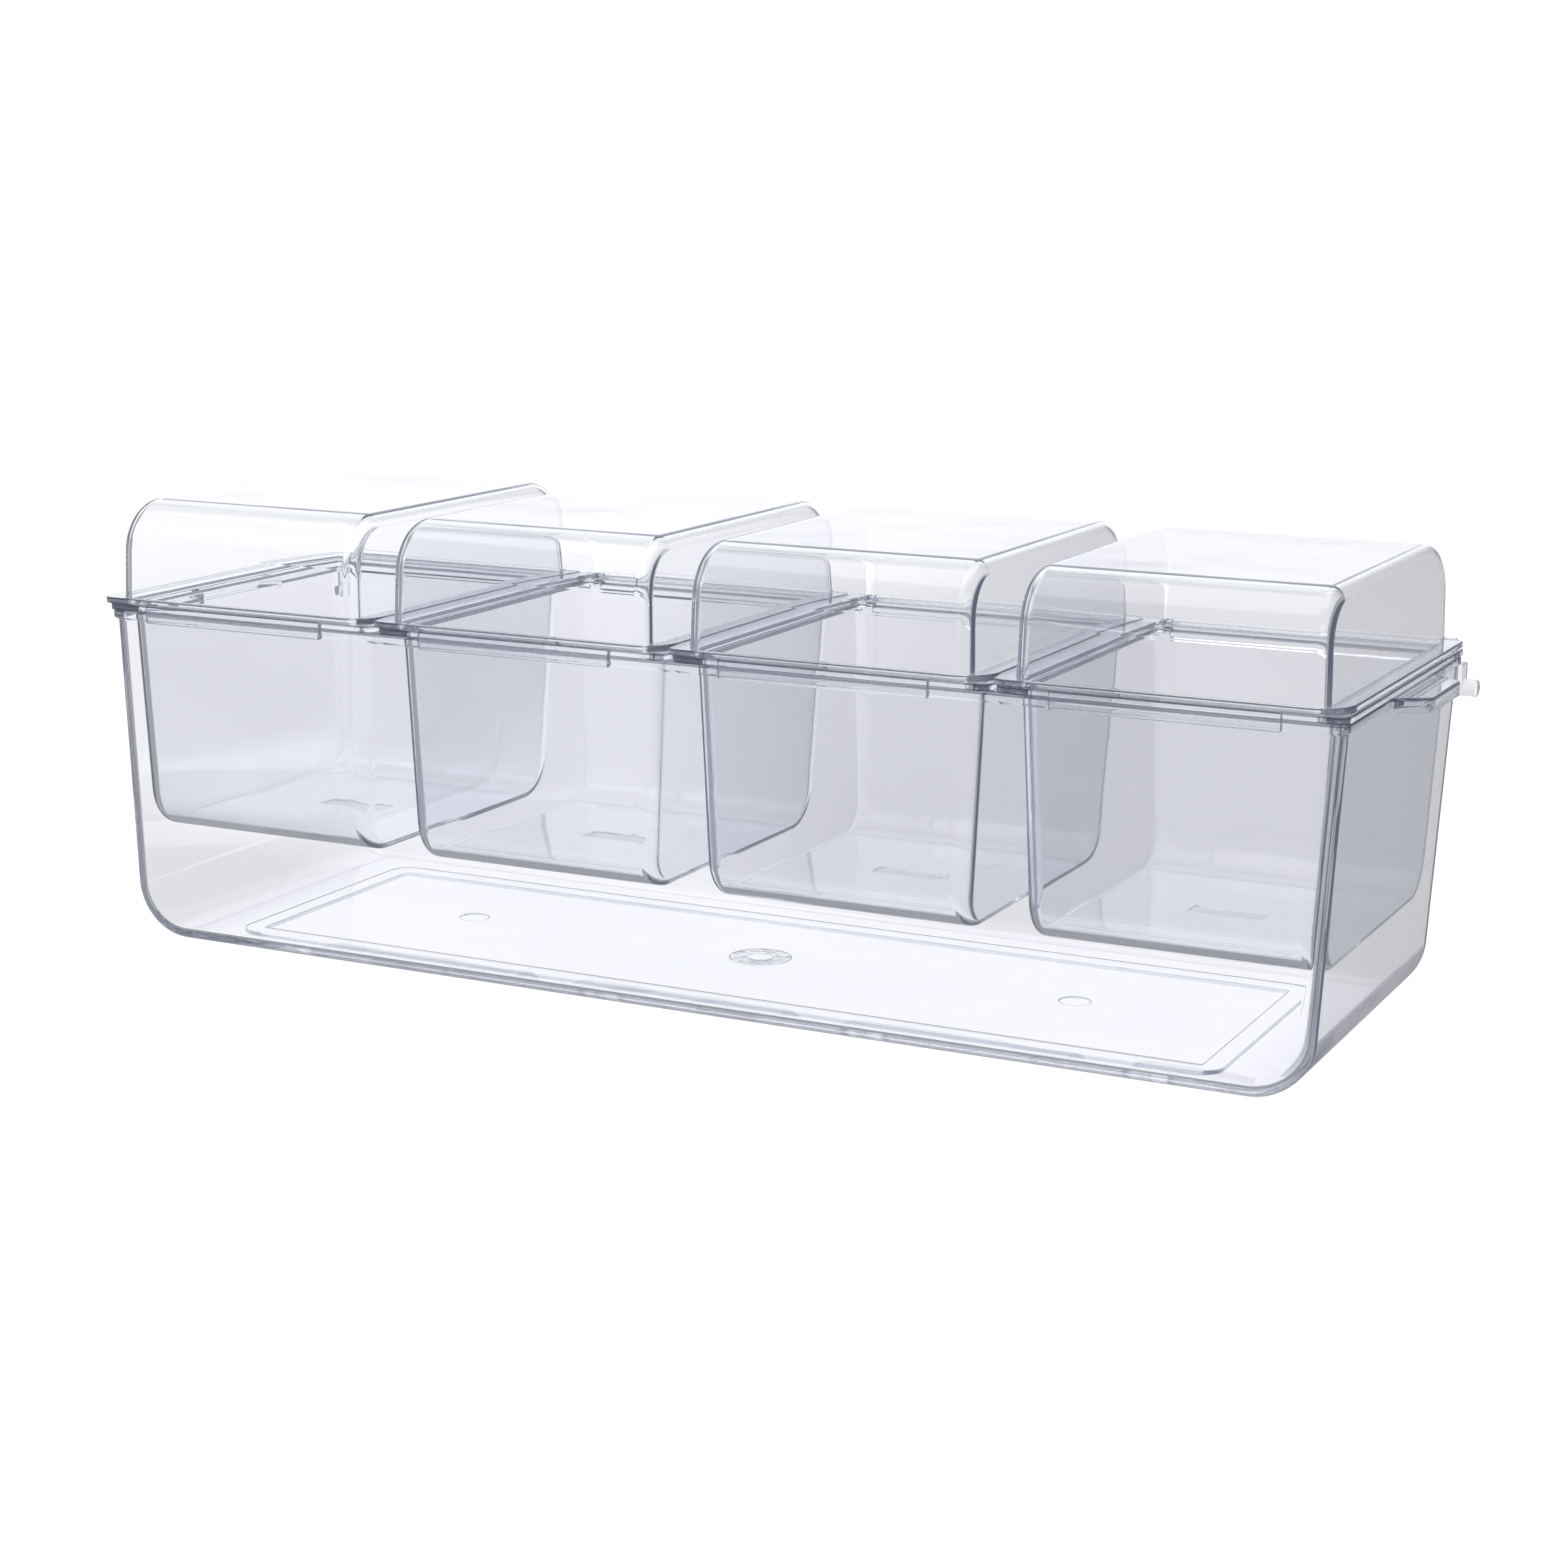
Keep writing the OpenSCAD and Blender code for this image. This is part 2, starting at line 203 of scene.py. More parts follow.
def lightWorld(look):
    world = bpy.data.worlds.new("studioSurround")
    bpy.context.scene.world = world
    world.use_nodes = True
    tree = world.node_tree
    tree.nodes.clear()
    out = makeNode(tree, "ShaderNodeOutputWorld", (1300, 0))
    mix = makeNode(tree, "ShaderNodeMixShader", (1100, 0))
    soft = makeNode(tree, "ShaderNodeBackground", (850, 0))
    plain = makeNode(tree, "ShaderNodeBackground", (850, -150))
    soft.inputs["Color"].default_value = look["skyColour"]
    soft.inputs["Strength"].default_value = look["skyOnObject"]
    rays = rayMasks(tree, (-200, 300))
    tree.links.new(coolReflections(tree, (600, 200), rays, look), plain.inputs["Color"])
    way = makeNode(tree, "ShaderNodeTexCoord", (-600, -300))
    parts = makeNode(tree, "ShaderNodeSeparateXYZ", (-400, -500))
    tree.links.new(way.outputs["Generated"], parts.inputs[0])
    room = roomLevel(tree, (-400, -300), way.outputs["Generated"], look)
    high = makeNode(tree, "ShaderNodeMapRange", (200, -500), interpolation_type="SMOOTHSTEP")
    high.inputs["From Min"].default_value = look["ceilingFrom"]
    high.inputs["From Max"].default_value = look["ceilingTo"]
    tree.links.new(parts.outputs["Z"], high.inputs["Value"])
    withCeiling = mixLevels(tree, (400, -350), high.outputs[0], room, look["ceilingGrey"])
    offGloss = mixLevels(tree, (550, -350), rays["trapped"], withCeiling, look["deepGrey"])
    far = farLevel(tree, (-400, -800), way.outputs["Generated"], look)
    behind = mixLevels(tree, (550, -150), rays["direct"], far, look["surround"])
    level = mixLevels(tree, (700, -200), rays["reflected"], behind, offGloss)
    tree.links.new(level, plain.inputs["Strength"])
    tree.links.new(rays["clear"], mix.inputs[0])
    tree.links.new(soft.outputs[0], mix.inputs[1])
    tree.links.new(plain.outputs[0], mix.inputs[2])
    tree.links.new(mix.outputs[0], out.inputs[0])


def clearSelection():
    bpy.ops.object.select_all(action="DESELECT")


def layFloor(look):
    clearSelection()
    bpy.ops.mesh.primitive_plane_add(size=look["floorSize"], location=(0, 0, -look["floorDrop"]))
    bpy.ops.object.transform_apply(location=True, rotation=True, scale=True)
    floor = bpy.context.object
    floor.name = "studioFloor"
    material = bpy.data.materials.new("paleFloor")
    material.use_nodes = True
    tree = material.node_tree
    tree.nodes.clear()
    out = makeNode(tree, "ShaderNodeOutputMaterial", (1300, 0))
    add = makeNode(tree, "ShaderNodeAddShader", (1100, 0))
    matt = makeNode(tree, "ShaderNodeBsdfDiffuse", (850, 100))
    glow = makeNode(tree, "ShaderNodeEmission", (850, -100))
    rays = rayMasks(tree, (-400, 300))
    spot = makeNode(tree, "ShaderNodeTexCoord", (-600, -300))
    room = roomLevel(tree, (-400, -300), spot.outputs["Object"], look)
    offGloss = mixLevels(tree, (300, -300), rays["trapped"], room, look["deepGrey"])
    # white under the caddy, greyer round it, bright again far off at the back left
    sides = makeNode(tree, "ShaderNodeVectorMath", (-1000, -600), operation="ABSOLUTE")
    outside = makeNode(tree, "ShaderNodeVectorMath", (-800, -600), operation="SUBTRACT")
    outside.inputs[1].default_value = look["tableHalf"]
    beside = makeNode(tree, "ShaderNodeVectorMath", (-600, -600), operation="MAXIMUM")
    away = makeNode(tree, "ShaderNodeVectorMath", (-400, -600), operation="LENGTH")
    fade = makeNode(tree, "ShaderNodeMapRange", (-200, -600), interpolation_type="SMOOTHSTEP")
    fade.inputs["From Min"].default_value = 0.0
    fade.inputs["From Max"].default_value = look["tableEdge"]
    fade.inputs["To Min"].default_value = look["tableLevel"]
    reach = makeNode(tree, "ShaderNodeMapRange", (-200, -900), interpolation_type="SMOOTHSTEP")
    reach.inputs["From Min"].default_value, reach.inputs["From Max"].default_value = look["tableReach"]
    nearLook = {**look, "farHigh": look["tableNear"]}
    farLook = {**look, "farHigh": look["tableFar"]}
    around = farLevel(tree, (-1200, -1200), spot.outputs["Object"], nearLook)
    beyond = farLevel(tree, (-1200, -1600), spot.outputs["Object"], farLook)
    tree.links.new(spot.outputs["Object"], sides.inputs[0])
    tree.links.new(sides.outputs[0], outside.inputs[0])
    tree.links.new(outside.outputs[0], beside.inputs[0])
    tree.links.new(beside.outputs[0], away.inputs[0])
    tree.links.new(away.outputs["Value"], fade.inputs["Value"])
    tree.links.new(away.outputs["Value"], reach.inputs["Value"])
    tree.links.new(mixLevels(tree, (-100, -1200), reach.outputs[0], around, beyond), fade.inputs["To Max"])
    behind = mixLevels(tree, (300, -500), rays["direct"], fade.outputs[0], look["surround"])
    level = mixLevels(tree, (450, -300), rays["reflected"], behind, offGloss)
    shown = mathNode(tree, (600, -250), "MULTIPLY", level, rays["clear"])
    lit = mathNode(tree, (750, -250), "MULTIPLY", shown, look["floorGlow"])
    shade = mixLevels(tree, (650, 150), rays["clear"], look["floorColour"], look["floorSeen"])
    seen = mathNode(tree, (750, 150), "MULTIPLY", shade, mixLevels(tree, (650, 0), rays["clear"], 1.0, level))
    tree.links.new(seen, matt.inputs["Color"])
    tree.links.new(lit, glow.inputs["Strength"])
    tree.links.new(coolReflections(tree, (650, 400), rays, look), glow.inputs["Color"])
    tree.links.new(matt.outputs[0], add.inputs[0])
    tree.links.new(glow.outputs[0], add.inputs[1])
    tree.links.new(add.outputs[0], out.inputs[0])
    floor.data.materials.append(material)


def hangLamp(name, lamp, target):
    data = bpy.data.lights.new(name, "AREA")
    data.shape = "RECTANGLE"
    data.size, data.size_y = lamp["size"]
    data.energy = lamp["watts"]
    lampObject = bpy.data.objects.new(name, data)
    bpy.context.collection.objects.link(lampObject)
    lampObject.location = lamp["place"]
    aim = Vector(target) - Vector(lamp["place"])
    lampObject.rotation_mode = "QUATERNION"
    lampObject.rotation_quaternion = aim.to_track_quat("-Z", "Y")


lightWorld(studio)
layFloor(studio)
for lampName in ("topLamp", "leftLamp", "rightLamp"):
    hangLamp(lampName, studio[lampName], studio["lampAim"])
print("caddy: studio ready")

bpy.context.scene.view_settings.view_transform = "Standard"
lightPasses = 40  # enough for a line of sight through every clear wall
bpy.context.scene.cycles.max_bounces = lightPasses
bpy.context.scene.cycles.transmission_bounces = lightPasses
bpy.context.scene.cycles.glossy_bounces = lightPasses
bpy.context.scene.cycles.transparent_max_bounces = lightPasses

mm = 0.001
over = 1.0  # how far a cutter or a joined block reaches past a face, in mm
sameSpot = 0.00001  # places closer than this count as one, in metres
downward = -0.9  # a normal below this points down

# how finely each kind of curve is cut
fine = {"rod": 48, "disc": 64, "rodEnd": 3, "outline": 4, "upright": 8, "longCurve": 16, "tub": 6, "foot": 2}


def openEdit(piece, kind, test):
    # edit mode on one piece, with only what passes the test selected
    clearSelection()
    piece.select_set(True)
    bpy.context.view_layer.objects.active = piece
    bpy.ops.object.mode_set(mode="EDIT")
    bpy.ops.mesh.select_mode(type=kind)
    bpy.ops.mesh.select_all(action="DESELECT")
    mesh = bmesh.from_edit_mesh(piece.data)
    for part in {"VERT": mesh.verts, "EDGE": mesh.edges, "FACE": mesh.faces}[kind]:
        part.select_set(test(part))
    mesh.select_flush_mode()
    bmesh.update_edit_mesh(piece.data)


def closeEdit():
    bpy.ops.object.mode_set(mode="OBJECT")


def near(a, b):
    return abs(a - b) < sameSpot


def addBlock(name, low, high):
    clearSelection()
    middle = [(a + b) / 2 * mm for a, b in zip(low, high)]
    bpy.ops.mesh.primitive_cube_add(size=mm, location=middle, scale=[b - a for a, b in zip(low, high)])
    bpy.ops.object.transform_apply(location=True, rotation=True, scale=True)
    block = bpy.context.object
    block.name = name
    return block


def addRod(name, radius, x0, x1, y, z, soft):
    # a round rod along X with softened ends
    clearSelection()
    bpy.ops.mesh.primitive_cylinder_add(
        vertices=fine["rod"], radius=radius * mm, depth=(x1 - x0) * mm,
        location=((x0 + x1) / 2 * mm, y * mm, z * mm), rotation=(0, math.pi / 2, 0))
    bpy.ops.object.transform_apply(location=True, rotation=True, scale=True)
    rod = bpy.context.object
    rod.name = name
    if soft:
        openEdit(rod, "EDGE", lambda e: near(e.verts[0].co.x, e.verts[1].co.x))
        bpy.ops.mesh.bevel(offset=soft * mm, segments=fine["rodEnd"], affect="EDGES")
        closeEdit()
    return rod


def addDisc(name, radius, x, y, z0, z1, soft):
    # a round disc lying flat, its top edge softened
    clearSelection()
    bpy.ops.mesh.primitive_cylinder_add(
        vertices=fine["disc"], radius=radius * mm, depth=(z1 - z0) * mm,
        location=(x * mm, y * mm, (z0 + z1) / 2 * mm))
    bpy.ops.object.transform_apply(location=True, rotation=True, scale=True)
    disc = bpy.context.object
    disc.name = name
    if soft:
        top = z1 * mm
        openEdit(disc, "EDGE", lambda e: near(e.verts[0].co.z, top) and near(e.verts[1].co.z, top))
        bpy.ops.mesh.bevel(offset=soft * mm, segments=fine["outline"], affect="EDGES")
        closeEdit()
    return disc


def roundUprights(piece, radius, test=None):
    # rounds the upright edges of a block
    def upright(e):
        a, b = e.verts[0].co, e.verts[1].co
        return near(a.x, b.x) and near(a.y, b.y) and (test is None or test(a))
    openEdit(piece, "EDGE", upright)
    bpy.ops.mesh.bevel(offset=radius * mm, segments=fine["upright"], affect="EDGES", clamp_overlap=False)
    closeEdit()


def softenFlat(piece, low, high, amount):
    # softens the outlines of the top and bottom faces
    def onOutline(e):
        a, b = e.verts[0].co, e.verts[1].co
        return near(a.z, b.z) and (near(a.z, low * mm) or near(a.z, high * mm))
    openEdit(piece, "EDGE", onOutline)
    bpy.ops.mesh.bevel(offset=amount * mm, segments=fine["outline"], affect="EDGES")
    closeEdit()


def roundTub(name, mouth, end, middle, radii, along):
    # a tapered form: long curves along one axis, then its uprights and its other edges rounded
    curve, upright, edge = radii
    wide, deep, mouthZ = mouth
    endWide, endDeep, endZ = end
    tub = addBlock(name, (-wide / 2, middle - deep / 2, min(mouthZ, endZ)),
                   (wide / 2, middle + deep / 2, max(mouthZ, endZ)))
    mouthPlane, endPlane = mouthZ * mm, endZ * mm
    away = 0 if along == "x" else 1
    openEdit(tub, "VERT", lambda v: near(v.co.z, endPlane))
    bpy.ops.transform.resize(value=(endWide / wide, endDeep / deep, 1),
                             center_override=(0, middle * mm, endPlane))
    closeEdit()

    def longEdge(e):
        a, b = e.verts[0].co, e.verts[1].co
        return near(a.z, endPlane) and near(b.z, endPlane) and not near(a[away], b[away])

    openEdit(tub, "EDGE", longEdge)
    bpy.ops.mesh.bevel(offset=curve * mm, segments=fine["longCurve"], affect="EDGES", clamp_overlap=False)
    closeEdit()

    def sideOutline(ends):
        a, b = ends[0].co, ends[1].co
        centre = 0 if away == 0 else middle * mm
        sameSide = (a[away] - centre) * (b[away] - centre) > 0
        return sameSide and not (near(a.z, mouthPlane) and near(b.z, mouthPlane))

    weights = tub.data.attributes.new("bevel_weight_edge", "FLOAT", "EDGE")
    for line in tub.data.edges:
        ends = [tub.data.vertices[i] for i in line.vertices]
        if sideOutline(ends):
            height = abs((ends[0].co.z + ends[1].co.z) / 2 - endPlane) / (curve * mm)
            weights.data[line.index].value = (edge + (upright - edge) * min(height, 1)) / upright
    rounding = tub.modifiers.new("rounding", "BEVEL")
    rounding.limit_method = "WEIGHT"
    rounding.width = upright * mm
    rounding.segments = fine["tub"]
    rounding.use_clamp_overlap = False
    bpy.ops.object.modifier_apply(modifier=rounding.name)
    return tub


def combine(piece, other, kind):
    clearSelection()
    piece.select_set(True)
    bpy.context.view_layer.objects.active = piece
    step = piece.modifiers.new("combine", "BOOLEAN")
    step.operation = kind
    step.solver = "EXACT"
    step.object = other
    bpy.ops.object.modifier_apply(modifier=step.name)
    bpy.data.objects.remove(other, do_unlink=True)


polishing = {"doubles": 0.000002, "sharpAngle": 35, "flatWeight": 60}


def polish(piece, look):
    # merges doubles and gives flat faces the lead in the shading
    openEdit(piece, "VERT", lambda v: True)
    bpy.ops.mesh.remove_doubles(threshold=look["doubles"])
    bpy.ops.mesh.dissolve_degenerate(threshold=look["doubles"])
    closeEdit()
    bpy.ops.object.shade_smooth_by_angle(angle=math.radians(look["sharpAngle"]))
    step = piece.modifiers.new("flatFirst", "WEIGHTED_NORMAL")
    step.keep_sharp = True
    step.weight = look["flatWeight"]
    bpy.ops.object.modifier_apply(modifier=step.name)


# one cup: a rounded tub, its flange, two ears with pin holes and a blank panel underneath
cup = {
    "mouth": (71.8, 95.0, 86.6),
    "floor": (66.0, 92.0, 28.0),
    "middle": -0.9,
    "wall": 1.6,
    "radii": (13.0, 6.0, 1.7),
    "flangeLow": (-39.9, -52.2, 85.74),
    "flangeHigh": (39.9, 50.1, 87.4),
    "corner": 3.0,
    "soften": 0.4,
    "earNear": 33.8,
    "earFar": 37.2,
    "earRadius": 2.4,
    "earSoft": 0.3,
    "hingeY": 52.4,
    "hingeZ": 86.6,
    "holeRadius": 1.39,
    "panel": (18.0, 8.0, 0.5),
    "panelCorner": 1.0,
}


def modelCup(look):
    wide, deep = look["mouth"][:2]
    endWide, endDeep, endZ = look["floor"]
    middle, wall, thick = look["middle"], look["wall"], 2 * look["wall"]
    low, high = look["flangeLow"], look["flangeHigh"]
    piece = addBlock("cupMaster", low, high)
    roundUprights(piece, look["corner"])
    softenFlat(piece, low[2], high[2], look["soften"])
    combine(piece, roundTub("cupBody", look["mouth"], look["floor"], middle,
                            look["radii"], "x"), "UNION")
    for side in (-1, 1):
        near0, far0 = sorted((side * look["earNear"], side * look["earFar"]))
        neck = addBlock("earNeck", (near0, high[1] - over, low[2]), (far0, look["hingeY"], high[2]))
        combine(piece, neck, "UNION")
        ear = addRod("ear", look["earRadius"], near0, far0, look["hingeY"], look["hingeZ"],
                     look["earSoft"])
        combine(piece, ear, "UNION")
    cavity = roundTub("cupCavity", (wide - thick, deep - thick, high[2] + over),
                      (endWide - thick, endDeep - thick, endZ + wall), middle,
                      [radius - wall for radius in look["radii"]], "x")
    combine(piece, cavity, "DIFFERENCE")
    reach = look["earFar"] + over
    hole = addRod("pinHole", look["holeRadius"], -reach, reach, look["hingeY"], look["hingeZ"], 0)
    combine(piece, hole, "DIFFERENCE")
    long, broad, sunk = look["panel"]
    panel = addBlock("panel", (-long / 2, middle - broad / 2, endZ - over),
                     (long / 2, middle + broad / 2, endZ + sunk))
    roundUprights(panel, look["panelCorner"])
    combine(piece, panel, "DIFFERENCE")
    return piece


# one lid: flange with a wide front corner, domed top, curled lift tab, barrel and pins
lid = {
    "flangeLow": (-39.9, -54.1, 87.75),
    "flangeHigh": (39.9, 49.6, 89.3),
    "corner": 3.0,
    "frontCorner": 8.5,
    "soften": 0.4,
    "mouth": (70.8, 102.4, 88.4),
    "top": (69.6, 101.4, 113.3),
    "middle": -1.2,
    "wall": 1.5,
    "radii": (12.5, 3.4, 3.4),
    "tabLength": 52.0,
    "tabY": -54.7,
    "tabSunk": 0.01,
    "tabThick": 1.5,
    "bendRadius": 2.9,
    "tabDrop": 5.9,
    "beadRadius": 1.1,
    "beadOut": 0.1,
    "beadSoft": 0.3,
    "hingeY": 52.4,
    "hingeZ": 86.6,
    "barrelRadius": 1.9,
    "barrelHalf": 33.4,
    "pinRadius": 1.3,
    "pinHalf": 37.2,
    "rodSoft": 0.2,
}


def modelTab(look):
    # a bend out of the flange, a straight drop and a round bead below
    half, thick, radius = look["tabLength"] / 2, look["tabThick"], look["bendRadius"]
    front, top = look["tabY"], look["flangeHigh"][2] - look["tabSunk"]
    beadZ = top - look["tabDrop"] + look["beadRadius"]

    def roundFrontTop(block, y, z, amount):
        openEdit(block, "EDGE", lambda e: all(near(v.co.y, y * mm) and near(v.co.z, z * mm) for v in e.verts))
        bpy.ops.mesh.bevel(offset=amount * mm, segments=fine["upright"], affect="EDGES", clamp_overlap=False)
        closeEdit()

    tab = addBlock("tab", (-half, front, beadZ), (half, front + radius, top))
    roundFrontTop(tab, front, top, radius - look["tabSunk"])
    hollow = addBlock("tabHollow", (-half - over, front + thick, beadZ - over),
                      (half + over, front + radius + over, top - thick))
    roundFrontTop(hollow, front + thick, top - thick, radius - thick)
    combine(tab, hollow, "DIFFERENCE")
    beadY = front + look["beadRadius"] - look["beadOut"]
    bead = addRod("bead", look["beadRadius"], -half, half, beadY, beadZ, look["beadSoft"])
    combine(tab, bead, "UNION")
    return tab


def modelLid(look):
    wide, deep = look["mouth"][:2]
    topWide, topDeep, topZ = look["top"]
    middle, wall, thick = look["middle"], look["wall"], 2 * look["wall"]
    low, high = look["flangeLow"], look["flangeHigh"]
    piece = addBlock("lidMaster", low, high)
    roundUprights(piece, look["corner"], lambda c: not (c.x > 0 and c.y < 0))
    rightEdge, frontEdge = high[0] * mm, low[1] * mm
    roundUprights(piece, look["frontCorner"], lambda c: near(c.x, rightEdge) and near(c.y, frontEdge))
    softenFlat(piece, low[2], high[2], look["soften"])
    bridge = addBlock("bridge", (-look["barrelHalf"], high[1] - 2 * over, low[2]),
                      (look["barrelHalf"], look["hingeY"], high[2]))
    combine(piece, bridge, "UNION")
    combine(piece, modelTab(look), "UNION")
    combine(piece, roundTub("dome", look["mouth"], look["top"], middle,
                            look["radii"], "x"), "UNION")
    cavity = roundTub("domeCavity", (wide - thick, deep - thick, low[2] - over),
                      (topWide - thick, topDeep - thick, topZ - wall), middle,
                      [radius - wall for radius in look["radii"]], "x")
    combine(piece, cavity, "DIFFERENCE")
    barrel = addRod("barrel", look["barrelRadius"], -look["barrelHalf"], look["barrelHalf"],
                    look["hingeY"], look["hingeZ"], look["rodSoft"])
    combine(piece, barrel, "UNION")
    pins = addRod("pins", look["pinRadius"], -look["pinHalf"], look["pinHalf"],
                  look["hingeY"], look["hingeZ"], look["rodSoft"])
    combine(piece, pins, "UNION")
    return piece


# the tray: a long tub, sloped rim with hinge notches, foot ring, end grips and corner lugs
tray = {
    "mouth": (319.8, 100.4, 85.2),
    "floor": (311.0, 100.0, 1.2),
    "middle": -0.9,
    "wall": 2.0,
    "base": 2.2,
    "radii": (14.0, 3.6, 3.0),
    "rimTop": 85.7,
    "rimLow": 83.9,
    "slopeLow": 82.3,
    "rimSize": (321.0, 101.6),
    "slopeSize": (317.8, 98.4),
    "rimCorner": 3.0,
    "rimSoft": 0.6,
    "notchWide": 4.2,
    "notchDeep": 0.6,
    "earMiddle": 35.5,
    "footSize": (264.0, 78.0),
    "footWide": 5.0,
    "footCorner": 6.0,
    "footSoft": 0.4,
    "gripReach": 8.5,
    "gripRoot": 37.0,
    "gripTip": 25.0,
    "gripThick": 2.4,
    "gripCorner": 1.2,
    "gripSoft": 0.7,
    "gripLip": 0.9,
    "gripLipIn": 0.6,
    "gripMiddle": 2.0,
    "postHeight": 6.4,
    "postDeep": 4.2,
    "postOut": 0.8,
    "postGap": 0.4,
    "postSoft": 0.5,
    "pegRadius": 2.1,
    "pegOut": 3.4,
    "pegSoft": 0.7,
    "gateRadius": 8.0,
    "gateSoft": 0.45,
    "gateHeart": 1.0,
    "gateSlack": 0.1,
    "nubRadius": 3.0,
    "markRadius": 4.0,
    "markPlace": 84.0,
    "markDeep": 0.5,
    "markSoft": 0.3,
    "places": 4,
    "pitch": 80.6,
}


def modelRim(look):
    middle = look["middle"]
    wide, deep = look["rimSize"]
    rim = addBlock("rim", (-wide / 2, middle - deep / 2, look["rimLow"]),
                   (wide / 2, middle + deep / 2, look["rimTop"]))
    roundUprights(rim, look["rimCorner"])
    openEdit(rim, "FACE", lambda f: f.normal.z < downward)
    bpy.ops.mesh.extrude_region_move(
        TRANSFORM_OT_translate={"value": (0, 0, (look["slopeLow"] - look["rimLow"]) * mm)})
    slopeWide, slopeDeep = look["slopeSize"]
    bpy.ops.transform.resize(value=(slopeWide / wide, slopeDeep / deep, 1),
                             center_override=(0, middle * mm, look["slopeLow"] * mm))
    closeEdit()
    top = look["rimTop"] * mm
    openEdit(rim, "EDGE", lambda e: near(e.verts[0].co.z, top) and near(e.verts[1].co.z, top))
    bpy.ops.mesh.bevel(offset=look["rimSoft"] * mm, segments=fine["outline"], affect="EDGES")
    closeEdit()
    return rim


def modelFoot(look):
    # a flat ring that the tray stands on
    middle, endZ, ring = look["middle"], look["floor"][2], look["footWide"]
    wide, deep = look["footSize"]
    foot = addBlock("foot", (-wide / 2, middle - deep / 2, 0), (wide / 2, middle + deep / 2, endZ + over))
    roundUprights(foot, look["footCorner"])
    openEdit(foot, "EDGE", lambda e: near(e.verts[0].co.z, 0) and near(e.verts[1].co.z, 0))
    bpy.ops.mesh.bevel(offset=look["footSoft"] * mm, segments=fine["foot"], affect="EDGES")
    closeEdit()
    hole = addBlock("footHole", (ring - wide / 2, middle + ring - deep / 2, -over),
                    (wide / 2 - ring, middle - ring + deep / 2, endZ))
    roundUprights(hole, look["footCorner"] - ring)
    combine(foot, hole, "DIFFERENCE")
    return foot


def modelPlate(look, side, z0, z1, inset):
    # a plate that narrows away from the end wall
    wallX = look["mouth"][0] / 2
    reach = look["gripReach"] - inset
    slant = (look["gripRoot"] - look["gripTip"]) / 2 / look["gripReach"]
    root = look["gripRoot"] / 2 - inset + slant * over
    tip = look["gripTip"] / 2 - inset + slant * inset
    near0, far0 = sorted((side * (wallX - over), side * (wallX + reach)))
    plate = addBlock("grip", (near0, look["gripMiddle"] - root, z0), (far0, look["gripMiddle"] + root, z1))
    outer = side * (wallX + reach) * mm
    openEdit(plate, "VERT", lambda v: near(v.co.x, outer))
    bpy.ops.transform.resize(value=(1, tip / root, 1),
                             center_override=(outer, look["gripMiddle"] * mm, z0 * mm))
    closeEdit()
    if not inset:
        roundUprights(plate, look["gripCorner"], lambda c: near(c.x, outer))
    return plate


def modelGrip(look, side):
    # the plate at one end, with a lip under its edge
    top = look["rimTop"]
    under = top - look["gripThick"]
    lipLow = under - look["gripLip"]
    grip = modelPlate(look, side, under, top, 0)
    softenFlat(grip, under, top, look["gripSoft"])
    lip = modelPlate(look, side, lipLow, under + look["gripLipIn"], 0)
    combine(lip, modelPlate(look, side, lipLow - over, top, look["wall"]), "DIFFERENCE")
    combine(grip, lip, "UNION")
    return grip


def modelLug(look, side):
    # the post at one back corner, with its peg
    wide, deep = look["mouth"][:2]
    wall, postTop = look["wall"], look["rimLow"]
    backWall = look["middle"] + deep / 2
    pegZ = postTop - look["postHeight"]
    inner, outer = side * (wide / 2 - wall / 2), side * (wide / 2 + look["postOut"])
    post = addBlock("post", (min(inner, outer), backWall - wall / 2, pegZ),
                    (max(inner, outer), backWall + look["postDeep"], postTop - look["postGap"]))
    softenFlat(post, pegZ, postTop - look["postGap"], look["postSoft"])
    tipX = outer + side * look["pegOut"]
    peg = addRod("peg", look["pegRadius"], min(inner, tipX), max(inner, tipX),
                 backWall + look["postDeep"] - look["pegRadius"], pegZ, look["pegSoft"])
    combine(post, peg, "UNION")
    return post


def cutNotches(piece, look):
    # room in the rim for the hinge ears of every cup
    rimBack = look["middle"] + look["rimSize"][1] / 2
    for number in range(look["places"]):
        for side in (-1, 1):
            x = (number - (look["places"] - 1) / 2) * look["pitch"] + side * look["earMiddle"]
            notch = addBlock("notch", (x - look["notchWide"] / 2, rimBack - look["notchDeep"],
                                       look["slopeLow"] - over / 2),
                             (x + look["notchWide"] / 2, rimBack + over, look["rimTop"] + over / 2))
            combine(piece, notch, "DIFFERENCE")


def cutMarks(piece, look):
    # moulding marks under the floor: a dished gate mark with a nub, and a round mark each side
    middle, low = look["middle"], look["floor"][2]
    high = low + look["markDeep"]
    gate = addDisc("gate", look["gateRadius"], 0, middle, low - over, high, look["gateSoft"])
    nub = addDisc("nub", look["nubRadius"], 0, middle, low - 2 * over, high + over, 0)
    combine(gate, nub, "DIFFERENCE")
    combine(piece, gate, "DIFFERENCE")
    for side in (-1, 1):
        mark = addDisc("mark", look["markRadius"], side * look["markPlace"], middle,
                       low - over, high, look["markSoft"])
        combine(piece, mark, "DIFFERENCE")


